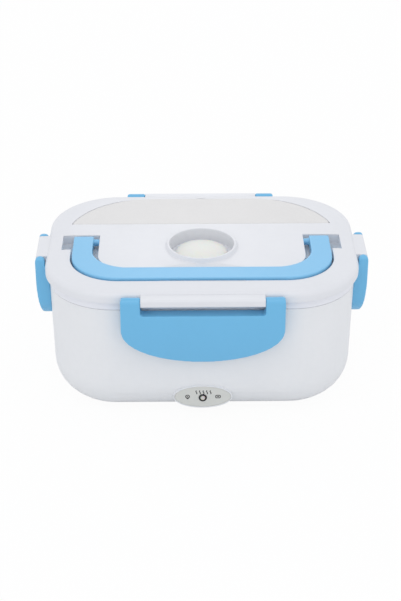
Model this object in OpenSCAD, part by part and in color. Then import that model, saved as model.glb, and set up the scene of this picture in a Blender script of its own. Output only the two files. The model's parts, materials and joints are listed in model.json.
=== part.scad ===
// Electric lunch box: a rounded, tapering casing that warms a lift-out food tray,
// a lift-off lid held by four swinging latches, a folding carry handle sunk in the lid,
// a steam vent plug and a covered spoon compartment.
// Millimetres. +Z is up, the front with the indicator lamp faces -Y, and the origin is
// on the table under the middle of the box.
//
// Every casing is a bowl on the same rounded outline. A wall is placed by its offset:
// how far it stands outward (+) or inward (-) of the lid's outer edge.

/* [Outline] */
// Lid width, left to right
lid_w = 222; // [218:1:228]
// Lid depth, front to back
lid_d = 156; // [153:1:160]
// Corner radius of the lid's edge
corner_r = 50; // [47:1:53]

/* [Casing] */
// Height of the rubber feet under the casing
foot_h = 1.5; // [1.5:0.1:3]
// Height of the outer shell, underside to top edge
shell_h = 94.3; // [91:0.1:98]
// Outer shell wall
shell_wall = 2.2; // [2:0.1:2.6]
// How far the shell's face stands behind the lid's edge
shell_inset = 2.9; // [2.9:0.1:3.4]
// Inward lean of every wall, mm per mm of height
wall_lean = 0.018; // [0:0.001:0.02]
// Radius of the shell's bottom edge
base_r = 29; // [22:1:30]
// Air gap between the shell and the warming pot
pot_gap = 1.0; // [0.8:0.1:1.6]
// Warming pot wall
pot_wall = 1.6; // [1.2:0.1:2]
// Space for the heater between the shell's floor and the pot's floor
heater_space = 21; // [19:0.5:23]
// Radius of the pot's bottom edge
pot_r = 20; // [16:1:24]
// Thickness of the pot's rim
rim_t = 2.0; // [1.6:0.1:2.6]
// How far the rim's edge stands behind the lid's edge
rim_inset = 2.9; // [2.7:0.1:3.2]
// How far the rim's skirt hangs down over the shell
rim_drop = 5.2; // [4:0.1:6.5]
// Thickness of the rim's skirt
skirt_t = 1.1; // [0.9:0.1:1.2]

/* [Food tray] */
// Clearance between the pot and the tray
tray_gap = 0.8; // [0.6:0.1:1.2]
// Tray wall, floor and flange
tray_wall = 1.2; // [1:0.1:1.6]
// Water space under the tray
tray_lift = 2; // [1:0.5:4]
// How far the tray's flange stands behind the lid's edge
tray_flange_inset = 5; // [4.8:0.1:5.4]
// Left edge of the side dish box, from the middle
dish_x = 30; // [10:1:50]
// Clearance round the side dish box
dish_gap = 1.0; // [0.8:0.1:2]
// Height of the side dish box
dish_h = 54; // [40:1:57]

/* [Lid] */
// How far the lid's skirt laps over the rim
lid_lap = 0.6; // [0.4:0.1:1]
// Height of the lid's deck over its lower edge
lid_h = 9.3; // [9:0.1:10]
// Lid shell wall
lid_wall = 2.2; // [1.8:0.1:2.4]
// Radius of the lid's top edge
lid_round = 4.4; // [3.6:0.1:5]
// Width of the sloping border of the lid
border_w = 14; // [12.5:0.5:15]
// Rise of the sloping border
border_rise = 1.5; // [0.8:0.1:2]
// Wall and floor of the recesses in the lid
recess_wall = 1.5; // [1.2:0.1:1.8]
// Lid liner wall, floor and flange
liner_wall = 1.2; // [1:0.1:1.4]
// Clearance between the tray and the lid liner
liner_gap = 1.0; // [0.8:0.1:1.2]
// Depth of the lid liner below the rim's top face
liner_drop = 9; // [8:0.5:12]
// Height of the sealing ring
gasket_h = 1.2; // [1:0.1:1.4]
// Width of the sealing ring
gasket_w = 4; // [3:0.1:5]
// Clearance between the sealing ring and the tray
seal_gap = 0.2; // [0.1:0.05:0.3]

/* [Carry handle] */
// How far the handle's arms stand in from the lid's edge
handle_inset = 19; // [18:0.5:23]
// Width of an arm
arm_w = 14; // [10:0.5:15]
// How far the handle's front edge stands in from the lid's edge
handle_setback = 16.5; // [16.5:0.5:20]
// Width of the grip bar
bar_w = 16; // [12:0.5:17]
// Handle thickness
handle_t = 8; // [7:0.1:8.6]
// How far the handle stands proud of the deck
handle_proud = 1.5; // [0.5:0.1:3]
// Outer corner radius of the handle
handle_r_out = 34; // [30:1:36]
// Inner corner radius of the handle
handle_r_in = 27; // [24:1:28]
// Pivot's place behind the middle of the lid
handle_y = 1; // [-2:0.5:3]
// Clearance round the handle
handle_gap = 1.2; // [1:0.1:1.4]
// Gap beside an arm on its inner side
slot_w = 4.3; // [3:0.1:5]
// How far the pocket beside an arm stands in from the lid's edge
pocket_inset = 10.8; // [10.6:0.1:12]
// Length of that pocket
pocket_l = 22; // [16:1:26]
// Depth of that pocket
pocket_h = 7; // [3:0.1:7]
// Pivot stub radius
stub_r = 2.5; // [2:0.1:2.8]
// Depth of the hollow in the handle's underside
handle_hollow = 5; // [3:0.5:6]
// Handle wall
handle_wall = 2.4; // [2:0.1:3]
// Length of the finger scoop behind the grip
scoop_w = 64; // [50:1:80]
// Depth of the finger scoop, front to back
scoop_d = 7.5; // [5:0.5:10]
// Depth of that scoop below the deck, at its edge to the handle channel
scoop_h = 4.4; // [2:0.1:5]

/* [Vent] */
// Vent's place behind the middle of the lid
vent_y = -11; // [-13:0.5:-9]
// Radius of the vent well
vent_r = 23.2; // [20:0.1:24]
// Width of the raised bead round the well
bead_w = 3; // [2:0.1:3.5]
// Height of that bead
bead_h = 2.6; // [0.5:0.1:3]
// Run of the bead's outer slope
bead_slope = 1.6; // [0.6:0.1:1.8]
// Chamfer on the bead's inner edge
bead_edge = 0.4; // [0.2:0.1:0.5]
// Depth of the vent well
vent_h = 7; // [6:0.1:7.6]
// Radius of the vent plug's cap
plug_r = 19; // [16:0.1:20]
// Height of the cap
plug_h = 5.8; // [4:0.1:6.5]
// Radius of the plug's stem
stem_r = 5.8; // [4:0.1:7]

/* [Spoon compartment] */
// Straight front edge of the cover, behind the middle of the lid
spoon_y = 25.1; // [24:0.1:27]
// Cover's back edge, in from the lid's edge
spoon_back = 9.9; // [9:0.1:11]
// Cover's back corner centres, in from the lid's edge
spoon_side = 73.5; // [70:0.5:77]
// Radius of the cover's back corners
spoon_r = 60; // [55:1:62]
// Cover thickness
cover_t = 1.6; // [1.2:0.1:1.8]
// Width of the ledge under the cover
ledge_w = 5.4; // [5.2:0.1:7]
// Depth of the compartment below the deck
spoon_h = 12; // [8:0.5:12.5]
// Width of the finger notch at the back edge
notch_w = 14; // [10:1:20]

/* [Latches] */
// Half width over the ears of the front and back latches
latch_hw = 56.2; // [50:0.1:58]
// Half length of the hinge lug between those ears
lug_hw = 42.5; // [36:0.1:44]
// Half width over the ears of the side latches
side_latch_hw = 20.6; // [20:0.1:26]
// Half length of the hinge lug between those ears
side_lug_hw = 16; // [12:0.1:18]
// Side latches' place behind the middle
side_latch_y = -3; // [-4:0.5:3]
// Length of the front and back latches below their pivot
latch_drop = 48; // [40:0.5:50]
// Length of the side latches below their pivot
side_latch_drop = 48; // [44:0.5:52]
// Height of the elliptical end of a front or back latch
latch_round = 27; // [20:0.5:30]
// Height of the elliptical end of a side latch
side_latch_round = 19; // [14:0.5:24]
// Depth of the gap in a latch's face, below its pivot
slot_drop = 9.2; // [8.6:0.1:9.4]
// Radius of a latch's corners beside its ears
ear_corner = 2.6; // [1.5:0.1:3]
// Pivot's distance out from the lid's edge
pivot_out = 4.3; // [4.2:0.1:5]
// Pivot's height over the lid's lower edge
pivot_up = 3.0; // [2.8:0.1:3.2]
// Radius of an ear
ear_r = 3.5; // [3.2:0.1:3.6]
// Latch wall
latch_wall = 2.4; // [2:0.1:2.8]
// How far the foot of a latch leans in
latch_lean = 4.5; // [3:0.1:5.5]
// Radius of a latch's pivot studs
stud_r = 1.6; // [1.3:0.1:1.8]
// Length of a latch's pivot studs
stud_l = 4.5; // [3:0.5:6]

/* [Indicator lamp] */
// Height of the oval pad's middle over the table
pad_z = 19.3; // [18.5:0.1:21]
// How far the lamp stands below the middle of its pad
lamp_drop = 0.8; // [0:0.1:1.2]
// Half width of the oval pad
pad_hw = 20.8; // [18:0.1:24]
// Half height of the oval pad
pad_hh = 9.2; // [8:0.1:9.6]
// Pad's face, in from the lid's edge
pad_inset = 3; // [2.5:0.1:4]
// Width of the rim round the lamp plate
pad_rim = 0.8; // [0.8:0.1:1.6]
// Thickness of the lamp plate
plate_t = 0.9; // [0.6:0.1:1.2]
// Lamp radius
lamp_r = 1.7; // [1.4:0.1:2]
// Radius of the dark ring round the lamp
bezel_r = 2.9; // [2.6:0.1:3.4]

/* [Power inlet] */
// Height of the inlet's middle over the table
inlet_z = 20; // [19:0.5:21]
// Width of the inlet's pad
inlet_w = 38; // [36:1:44]
// Height of the inlet's pad
inlet_h = 18; // [16:0.5:19]
// Inlet pad's face, in from the lid's edge
inlet_inset = 3; // [2.5:0.1:3.5]
// Distance between the two contact pins
pin_pitch = 8.6; // [8.6:0.1:8.8]
// Radius of a contact pin
pin_r = 1.18; // [1.1:0.01:1.2]
// Radius of each lobe of the socket
socket_r = 4.2; // [3.8:0.1:4.3]
// Depth of the socket
socket_h = 9; // [7:0.5:9.5]
// Thickness of the inlet's cap
cap_t = 1.6; // [1.2:0.1:2]

/* [Heater] */
// Heater plate, left to right
heat_w = 84; // [76:1:88]
// Heater plate, front to back
heat_d = 50; // [40:1:54]
// Heater plate thickness
heat_t = 2.5; // [2:0.1:3]
// Heating element, left to right
element_w = 36; // [30:1:40]
// Heating element, front to back
element_d = 25; // [20:1:28]
// Heating element thickness
element_t = 5.5; // [4:0.1:6]
// Clamp strip thickness
clamp_t = 1; // [0.8:0.1:1.4]
// Lead radius
lead_r = 1.2; // [1:0.1:1.3]

/* [Fasteners and feet] */
// Base screws' place right and left of the middle
post_x = 50; // [49:1:52]
// Base screws' place in front of and behind the middle
post_y = 22; // [18:1:24]
// Base screw radius
screw_r = 1.5; // [1.3:0.1:1.7]
// Foot radius
foot_r = 8; // [6:0.5:9]

/* [Hidden] */
$fn = 96;
white = "#e6e9ee";
blue = "#6fb3e0";
snap = 0.05;        // running clearance of pins and studs
cut = 1;            // how far a cutting shape runs past a face
arc_n = 10;         // flats in a quarter of a rounded edge

// heights
lamp_z = pad_z - lamp_drop;
shell_top = foot_h + shell_h;
shell_floor = foot_h + shell_wall;
rim_top = shell_top + rim_t;
pot_bottom = shell_floor + heater_space;
pot_floor = pot_bottom + pot_wall;
tray_bottom = pot_floor + tray_lift;
tray_floor = tray_bottom + tray_wall;
tray_top = rim_top + tray_wall;
lid_edge = rim_top - lid_lap;
deck = lid_edge + lid_h;
gasket_top = tray_top + seal_gap + gasket_h;
liner_top = gasket_top + liner_wall;
liner_bottom = rim_top - liner_drop;
liner_floor = liner_bottom + liner_wall;

// offsets of the nested walls at the top of the shell
shell_off = -shell_inset;
pot_off = shell_off - shell_wall - pot_gap;
tray_off = pot_off - pot_wall - tray_gap;
liner_off = tray_off - tray_wall - liner_gap;
skirt_off = -rim_inset - skirt_t;
liner_edge_off = -lid_wall - 2.4;
gasket_off = liner_edge_off - 1;

handle_hw = lid_w / 2 - handle_inset;     // half width over the handle's arms
handle_front = lid_d / 2 - handle_setback; // handle's front edge, from the lid's middle
pocket_out = lid_w / 2 - pocket_inset;    // outer side of the pocket beside an arm
spoon_flat = lid_w - 2 * spoon_side;      // straight part of the cover's back edge

// corner centres
cx = lid_w / 2 - corner_r;
cy = lid_d / 2 - corner_r;

// --- outlines and sections ---------------------------------------------------------

// Offset of a wall at height z, for a wall that starts at the offset off
function lean(off, z) = off - (shell_top - z) * wall_lean;

// Points on an arc about c, from angle a to angle b
function arc(c, r, a, b, n = arc_n) =
    [for (i = [0 : n]) let (t = a + (b - a) * i / n) c + r * [cos(t), sin(t)]];

// Section of a filled bowl, x measured from the line through the corner centres
function bowl_section(off, bottom, top, r) =
    let (c = [corner_r + lean(off, bottom + r) - r, bottom + r])
    concat([[0, bottom]], arc(c, r, -90, 0), [[corner_r + lean(off, top), top], [0, top]]);

// Section of a band between two offsets and two heights
function band(off_a, off_b, bottom, top) =
    [[corner_r + off_a, bottom], [corner_r + off_b, bottom],
     [corner_r + off_b, top], [corner_r + off_a, top]];

// Carries a section all the way round the outline
module around() {
    for (q = [0 : 3])
        translate([cx * (q == 0 || q == 3 ? 1 : -1), cy * (q < 2 ? 1 : -1), 0])
            rotate([0, 0, 90 * q])
                rotate_extrude(angle = 90) children();
    for (a = [0, 180]) {
        rotate([0, 0, a]) translate([cx, cy, 0])
            rotate([90, 0, 0]) linear_extrude(2 * cy) children();
        rotate([0, 0, a + 90]) translate([cy, cx, 0])
            rotate([90, 0, 0]) linear_extrude(2 * cx) children();
    }
}

// A filled bowl on the outline
module bowl(off, bottom, top, r) {
    around() polygon(bowl_section(off, bottom, top, r));
    translate([-cx, -cy, bottom]) cube([2 * cx, 2 * cy, top - bottom]);
}

// A flat plate on the outline
module plate(off, bottom, top) {
    translate([0, 0, bottom]) linear_extrude(top - bottom) {
        for (x = [-cx, cx], y = [-cy, cy])
            translate([x, y]) circle(corner_r + off);
        square([2 * (cx + corner_r + off), 2 * cy], center = true);
        square([2 * cx, 2 * (cy + corner_r + off)], center = true);
    }
}

// Repeats a piece at the four corners of a rectangle
module four(x, y) {
    for (sx = [-x, x], sy = [-y, y])
        translate([sx, sy, 0]) children();
}

// A round bar along X, centred on x = 0
module bar_x(r, length) {
    rotate([0, 90, 0]) cylinder(r = r, h = length, center = true);
}

// A round bar along Y, from y = a to y = b
module bar_y(r, a, b) {
    translate([0, a, 0]) rotate([-90, 0, 0]) cylinder(r = r, h = b - a);
}

// Rectangle with round corners, drawn from squares and circles
module round_rect(w, d, r) {
    for (x = [r - w / 2, w / 2 - r], y = [r - d / 2, d / 2 - r])
        translate([x, y]) circle(r);
    square([w - 2 * r, d], center = true);
    square([w, d - 2 * r], center = true);
}

// An ellipse
module oval(a, b, n = 64) {
    polygon([for (i = [0 : n - 1]) [a * cos(360 * i / n), b * sin(360 * i / n)]]);
}

// --- casing ------------------------------------------------------------------------

lamp_y = pad_inset - lid_d / 2;       // face of the lamp pad
inlet_y = lid_d / 2 - inlet_inset;    // face of the inlet pad
pad_depth = 9;                        // how far the lamp's pad reaches back into the shell
inlet_depth = 10.5;                   // how far the inlet's pad reaches in
boss_r = 6;                           // screw boss on the shell's floor
boss_top = shell_floor + 4;
head_r = 2 * screw_r;
head_h = 2.2;
head_seat = foot_h + 3;
screw_l = 12;
post_r = 4;
foot_sink = 0.8;
foot_out = 5;                         // feet stand this far outside the corner centres
hinge_r = 1.7;                        // barrel of the inlet's cap
hinge_y = inlet_y + hinge_r + 0.3;
hinge_z = inlet_z + inlet_h / 2 + 0.5;
hinge_hw = 12;
hinge_ear = 3.2;
hinge_pin_r = 0.9;

// Stands a flat drawing up against the front or back: x stays, y becomes height
module upright(z, from, to) {
    translate([0, to, z]) rotate([90, 0, 0]) linear_extrude(to - from) children();
}

module outer_shell() {
    lamp_back = lamp_y + pad_depth;
    inlet_front = inlet_y - inlet_depth;
    color(white) difference() {
        union() {
            difference() {
                bowl(shell_off, foot_h, shell_top, base_r);
                bowl(shell_off - shell_wall, shell_floor, shell_top + cut,
                     base_r - shell_wall);
                // step that the rim's skirt laps over
                around() polygon(band(skirt_off - 0.15, cut, shell_top - rim_drop - 0.3,
                                      shell_top + cut));
            }
            upright(pad_z, lamp_y, lamp_back) oval(pad_hw, pad_hh);
            upright(inlet_z, inlet_front, inlet_y) round_rect(inlet_w, inlet_h, 4);
            four(post_x, post_y) translate([0, 0, foot_h])
                cylinder(r = boss_r, h = boss_top - foot_h);
            // ears that carry the inlet's cap
            for (s = [-1, 1])
                translate([s * (hinge_hw + snap * 4 + hinge_ear / 2), 0, 0]) {
                    translate([0, hinge_y, hinge_z]) bar_x(hinge_r, hinge_ear);
                    translate([-hinge_ear / 2, inlet_y - 2, hinge_z - hinge_r])
                        cube([hinge_ear, hinge_y - inlet_y + 2, 2 * hinge_r]);
                }
        }
        // recess for the lamp plate, hole for the lamp
        upright(pad_z, lamp_y - cut, lamp_y + plate_t + 0.3)
            oval(pad_hw - pad_rim, pad_hh - pad_rim);
        translate([0, 0, lamp_z]) bar_y(bezel_r + snap, lamp_y, lamp_back + cut);
        // opening for the inlet
        upright(inlet_z, inlet_front - cut, inlet_y + cut)
            round_rect(inlet_body_w + 2 * snap, inlet_body_h + 2 * snap, inlet_body_r);
        // bores for the cap's trunnions
        translate([0, hinge_y, hinge_z])
            bar_x(hinge_pin_r + snap, 2 * (hinge_hw + hinge_ear) + 4);
        // base screws and feet
        four(post_x, post_y) {
            cylinder(r = head_r + 0.3, h = head_seat);
            cylinder(r = screw_r + 0.2, h = boss_top + cut);
        }
        four(cx + foot_out, cy + foot_out) cylinder(r = foot_r + snap, h = foot_h + foot_sink);
    }
}

module warming_pot() {
    floor_r = pot_r - pot_wall;
    color("#f2f4f6") difference() {
        union() {
            difference() {
                bowl(pot_off, pot_bottom, rim_top, pot_r);
                bowl(pot_off - pot_wall, pot_floor, rim_top + cut, floor_r);
            }
            around() polygon(band(pot_off - pot_wall / 2, -rim_inset, shell_top, rim_top));
            around() polygon(band(skirt_off, -rim_inset,
                                  shell_top - rim_drop, shell_top + rim_t / 2));
            four(post_x, post_y) translate([0, 0, boss_top])
                cylinder(r = post_r, h = pot_floor - boss_top - snap);
        }
        four(post_x, post_y) translate([0, 0, boss_top - cut])
            cylinder(r = screw_r + 0.02, h = head_seat + screw_l + 0.5 - boss_top + cut);
    }
}

module rubber_feet() {
    color("#8a8f94") four(cx + foot_out, cy + foot_out) cylinder(r = foot_r, h = foot_h + foot_sink);
}

module base_screws() {
    color("silver") four(post_x, post_y) translate([0, 0, head_seat]) {
        cylinder(r = screw_r, h = screw_l);
        difference() {
            translate([0, 0, -head_h]) cylinder(r = head_r, h = head_h);
            for (a = [0, 90]) rotate([0, 0, a])
                translate([-head_r * 0.6, -0.4, -head_h - cut])
                    cube([head_r * 1.2, 0.8, cut + 1.2]);
        }
    }
}

// --- indicator lamp ----------------------------------------------------------------

board_t = 1.2;
lamp_l = pad_depth + 1.5;

module lamp_plate() {
    color("#cacbc6") difference() {
        upright(pad_z, lamp_y + 0.3, lamp_y + 0.3 + plate_t)
            oval(pad_hw - pad_rim - 0.15, pad_hh - pad_rim - 0.15);
        translate([0, 0, lamp_z]) bar_y(bezel_r + snap, lamp_y, lamp_y + 3);
    }
}

module lamp_bezel() {
    color("#2b2d30") translate([0, 0, lamp_z]) difference() {
        bar_y(bezel_r, lamp_y - 0.1, lamp_y + pad_depth);
        bar_y(lamp_r + 0.02, lamp_y - cut, lamp_y + pad_depth + cut);
    }
}

module indicator_lamp() {
    color("#e9e4dc") translate([0, 0, lamp_z]) {
        bar_y(lamp_r, lamp_y + 0.4, lamp_y + lamp_l);
        translate([0, lamp_y + 0.4, 0]) sphere(r = lamp_r, $fn = 48);
    }
}

module lamp_board() {
    color("#3f7a4a") upright(lamp_z, lamp_y + lamp_l, lamp_y + lamp_l + board_t)
        square([16, 9], center = true);
}

// --- power inlet -------------------------------------------------------------------

inlet_body_w = 24;
inlet_body_h = 12;
inlet_body_r = 3;
inlet_body_l = 14;
inlet_back = inlet_y - inlet_body_l;
tab_l = 3;

module power_inlet() {
    color("#26282b") difference() {
        union() {
            upright(inlet_z, inlet_back, inlet_y - 0.4)
                round_rect(inlet_body_w, inlet_body_h, inlet_body_r);
            upright(inlet_z, inlet_y - inlet_depth - 1.5, inlet_y - inlet_depth)
                round_rect(inlet_body_w + 3, inlet_body_h + 1.5, inlet_body_r);
        }
        for (s = [-1, 1])
            translate([s * pin_pitch / 2, 0, inlet_z])
                bar_y(socket_r, inlet_y - socket_h, inlet_y + cut);
        upright(inlet_z, inlet_y - socket_h, inlet_y + cut)
            square([pin_pitch, socket_r], center = true);
        for (s = [-1, 1])
            translate([s * pin_pitch / 2, 0, inlet_z])
                bar_y(pin_r + 0.02, inlet_back - cut, inlet_y);
    }
}

module inlet_pins() {
    color("silver") for (s = [-1, 1])
        translate([s * pin_pitch / 2, 0, inlet_z]) {
            bar_y(pin_r, inlet_back - tab_l, inlet_y - 2.5);
            translate([0, inlet_y - 2.5, 0]) sphere(r = pin_r, $fn = 32);
        }
}

module inlet_cap() {
    low = inlet_z - inlet_h / 2 + 1.5;
    color(white) {
        translate([0, hinge_y, hinge_z]) {
            bar_x(hinge_r, 2 * hinge_hw);
            bar_x(hinge_pin_r, 2 * (hinge_hw + hinge_ear));
        }
        translate([-hinge_hw, inlet_y + 0.2, low])
            cube([2 * hinge_hw, cap_t, hinge_z - low]);
        // pull lip
        translate([-5, inlet_y + 0.2, low]) cube([10, cap_t + 1.4, 1.4]);
    }
}

// --- heater ------------------------------------------------------------------------

element_bottom = pot_bottom - heat_t - element_t;
clamp_hw = element_w / 2 + 12;
clamp_foot = 8;
clamp_d = 12;
clamp_screw_x = clamp_hw - clamp_foot / 2;
fuse_r = 2;
fuse_l = 12;
fuse_x = -heat_w / 2 + 6;
fuse_z = pot_bottom - heat_t - fuse_r;

module heater_plate() {
    color("#c9ccd0") difference() {
        translate([0, 0, pot_bottom - heat_t]) linear_extrude(heat_t)
            round_rect(heat_w, heat_d, 8);
        for (s = [-1, 1])
            translate([s * clamp_screw_x, 0, pot_bottom - heat_t - cut])
                cylinder(r = screw_r + 0.02, h = cut + heat_t - 0.4);
    }
}

module heating_element() {
    color("#b9a27c") translate([0, 0, element_bottom]) linear_extrude(element_t)
        round_rect(element_w, element_d, 1.5);
}

module heater_clamp() {
    top = pot_bottom - heat_t;
    side = element_w / 2 + 0.3;
    color("silver") difference() {
        union() {
            translate([-side - clamp_t, -clamp_d / 2, element_bottom - clamp_t])
                cube([2 * (side + clamp_t), clamp_d, clamp_t]);
            for (s = [-1, 1]) {
                translate([s * (side + clamp_t / 2) - clamp_t / 2, -clamp_d / 2,
                           element_bottom - clamp_t])
                    cube([clamp_t, clamp_d, element_t + clamp_t]);
                translate([s > 0 ? side : -clamp_hw, -clamp_d / 2, top - clamp_t])
                    cube([clamp_hw - side, clamp_d, clamp_t]);
            }
        }
        for (s = [-1, 1])
            translate([s * clamp_screw_x, 0, top - clamp_t - cut])
                cylinder(r = screw_r + 0.2, h = clamp_t + 2 * cut);
    }
}

module clamp_screws() {
    seat = pot_bottom - heat_t - clamp_t;
    color("silver") for (s = [-1, 1])
        translate([s * clamp_screw_x, 0, seat]) {
            translate([0, 0, -1.6]) cylinder(r = 1.8 * screw_r, h = 1.6);
            cylinder(r = screw_r, h = clamp_t + heat_t - 0.6);
        }
}

module thermal_fuse() {
    color("#d8dadc") translate([fuse_x, 0, fuse_z]) {
        bar_y(fuse_r, -fuse_l / 2, fuse_l / 2);
        bar_y(0.5, -fuse_l / 2 - 3, fuse_l / 2 + 3);
    }
}

// A round lead swept along its own points
function unit(v) = v / norm(v);
function heading(p, i) = unit(p[min(i + 1, len(p) - 1)] - p[max(i - 1, 0)]);
function smooth(p, n = 4) = [for (i = [0 : len(p) - 2], k = [0 : n - 1])
    let (b = p[i], c = p[i + 1], far = norm(c - b), t = k / n, u = 1 - t)
    b * u * u * (1 + 2 * t) + c * t * t * (3 - 2 * t)
        + far * t * u * (heading(p, i) * u - heading(p, i + 1) * t)];

module lead(points, r) {
    path = concat(smooth(points), [points[len(points) - 1]]);
    last = len(path) - 1;
    sides = 8;
    rings = [for (i = [0 : last])
        let (d = unit(path[min(i + 1, last)] - path[max(i - 1, 0)]),
             u = unit(cross(d, [0.12, 0.08, 1])),
             v = cross(d, u))
        for (k = [0 : sides - 1])
            path[i] + r * (cos(360 * k / sides) * u + sin(360 * k / sides) * v)];
    polyhedron(rings, concat(
        [[for (k = [0 : sides - 1]) k]],
        [[for (k = [sides - 1 : -1 : 0]) last * sides + k]],
        [for (i = [0 : last - 1], k = [0 : sides - 1])
            let (a = i * sides + k, b = i * sides + (k + 1) % sides)
            each [[a, a + sides, b], [b, a + sides, b + sides]]]));
}

joint_gap = 0.3;               // between a lead's end and what it is soldered to
lead_in = 4;                   // a lead leaves its ends straight for this length
sag = 6;                       // how far the leads hang down between their ends
tab_x = pin_pitch / 2;
tab_y = inlet_back - tab_l - joint_gap;
fuse_end = fuse_l / 2 + 3 + joint_gap;
terminal_x = element_w / 4.5;
terminal_y = element_d / 2 + joint_gap;
terminal_z = element_bottom + element_t / 2;
under_z = (shell_floor + element_bottom) / 2;   // middle of the space under the element

// A way-point at the share t of the way from a to b, lowered by drop
function between(a, b, t, drop) = a + (b - a) * t - [0, 0, drop];

// Points from a to b, both left along Y; da and db are the ways the lead sets off
function run(a, da, middle, b, db) =
    concat([a, a + [0, da * lead_in, 0]], middle, [b + [0, db * lead_in, 0], b]);

module live_lead() {
    tab = [-tab_x, tab_y, inlet_z];
    fuse_back = [fuse_x, fuse_end, fuse_z];
    fuse_front = [fuse_x, -fuse_end, fuse_z];
    terminal = [-terminal_x, terminal_y, terminal_z];
    turn = (fuse_x - clamp_hw) / 2;
    color("firebrick") {
        lead(run(tab, -1, [between(tab, fuse_back, 0.35, sag),
                           between(tab, fuse_back, 0.65, sag)], fuse_back, 1), lead_r);
        lead(run(fuse_front, -1,
                 [[turn, -heat_d / 2 + 4, under_z + 1],
                  [-clamp_hw + 7, -clamp_d / 2, under_z],
                  [-element_w / 2, clamp_d, under_z]], terminal, 1), lead_r);
    }
}

module neutral_lead() {
    tab = [tab_x, tab_y, inlet_z];
    terminal = [terminal_x, terminal_y, terminal_z];
    color("royalblue")
        lead(run(tab, -1, [between(tab, terminal, 0.35, sag),
                           between(tab, terminal, 0.65, sag)], terminal, 1), lead_r);
}

module lamp_leads() {
    r = lead_r * 0.7;
    floor_z = shell_floor + r + 0.5;
    back = lamp_y + lamp_l + board_t + joint_gap;
    color("dimgray") for (s = [-1, 1]) {
        start = [s * tab_x, inlet_back - joint_gap, inlet_z - 4];
        end = [s * tab_x, back, lamp_z - 2];
        side = [s * (clamp_hw + 2), heat_d / 2, floor_z];
        front = [side[0], -side[1], floor_z];
        lead(run(start, -1, [between(start, side, 0.6, 0), side, (side + front) / 2, front,
                             between(end, front, 0.6, 0)], end, 1), r);
    }
}

// --- food tray ---------------------------------------------------------------------

module food_tray() {
    r = pot_r - pot_wall - tray_gap;
    color("#e9ecef") {
        difference() {
            bowl(tray_off, tray_bottom, tray_top, r);
            bowl(tray_off - tray_wall, tray_floor, tray_top + cut, r - tray_wall);
        }
        around() polygon(band(tray_off - tray_wall / 2, -tray_flange_inset,
                              rim_top, tray_top));
    }
}

module side_dish_box() {
    r = pot_r - pot_wall - tray_gap - tray_wall - dish_gap;
    off = tray_off - tray_wall - dish_gap;
    top = tray_floor + dish_h;
    reach = lid_w;
    color("#cfe3f2") difference() {
        intersection() {
            bowl(off, tray_floor, top, r);
            translate([dish_x, -reach / 2, 0]) cube([reach, reach, reach]);
        }
        intersection() {
            bowl(off - tray_wall, tray_floor + tray_wall, top + cut, r - tray_wall);
            translate([dish_x + tray_wall, -reach / 2, 0]) cube([reach, reach, reach]);
        }
    }
}

// --- lid ---------------------------------------------------------------------------

border_z = deck - border_rise;
handle_top = deck + handle_proud;
handle_bottom = handle_top - handle_t;
channel_floor = handle_bottom - handle_gap + 0.1;
axis_z = handle_bottom + 3.4;
channel_back = handle_y + handle_t / 2 + 2;
pocket_wall = 0.8;
pocket_play = 0.2;            // gap between a pocket's wall and the notch in the liner
boss_l = 7.5;                 // depth of a pivot boss
channel_in = handle_hw - arm_w - slot_w;
island_front = handle_front - bar_w - handle_gap + 0.2;
island_r = handle_r_in - 7;
stub_end = channel_in - boss_l + 2.5;
bead_r = vent_r + bead_w;
well_floor = deck - vent_h;
cover_top = deck - 0.1;
cover_bottom = cover_top - cover_t;
rebate = cover_bottom - 0.1;
spoon_floor = deck - spoon_h;
ledge_front = 4;
cover_hinge_r = 1.3;
cover_stud_r = 0.7;
cover_stud_l = 2.2;
cover_y = spoon_y + cover_hinge_r;
cover_z = cover_top - cover_hinge_r;
spoon_hw = spoon_flat / 2 - 0.1
    + sqrt(pow(spoon_r, 2)
           - pow(cover_y + cover_hinge_r - (lid_d / 2 - spoon_back - spoon_r), 2));
pivot_z = lid_edge + pivot_up;
lug_out = pivot_out + ear_r - 0.3;
lug_low = lid_edge + 0.2;
lug_top = pivot_z + 3.0;

// U shape: half width, front edge, corner radius, back edge
module bay(hw, front, r, back) {
    intersection() {
        union() {
            for (s = [-1, 1])
                translate([s * (hw - r), r - front]) circle(r);
            translate([-hw, r - front]) square([2 * hw, back + front - r]);
            translate([r - hw, -front]) square([2 * (hw - r), front]);
        }
        translate([-hw - cut, -front - cut]) square([2 * (hw + cut), back + front + cut]);
    }
}

// The channel that holds the handle, grown by grow on both sides
module channel(grow) {
    difference() {
        bay(handle_hw + handle_gap + grow, handle_front + handle_gap + grow,
            handle_r_out + handle_gap + grow, channel_back + grow);
        bay(channel_in - grow, island_front - grow, island_r - grow,
            channel_back + grow + cut);
    }
}

// D shape of the spoon cover, drawn in by inset
module spoon_shape(inset, front_inset) {
    back = lid_d / 2 - spoon_back;
    intersection() {
        union() {
            for (s = [-1, 1])
                translate([s * spoon_flat / 2, back - spoon_r]) circle(spoon_r - inset);
            translate([-spoon_flat / 2, 0]) square([spoon_flat, back - inset]);
        }
        translate([-lid_w / 2, spoon_y + front_inset]) square([lid_w, lid_d]);
    }
}

// Section of the lid's skirt, rounded edge and sloping border
function skin_section() =
    let (c = [corner_r - lid_round, border_z - lid_round])
    concat([[corner_r, lid_edge]], arc(c, lid_round, 0, 90),
           [[corner_r - border_w, deck], [corner_r - border_w, deck - lid_wall]],
           arc(c, lid_round - lid_wall, 90, 0), [[corner_r - lid_wall, lid_edge]]);

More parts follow.
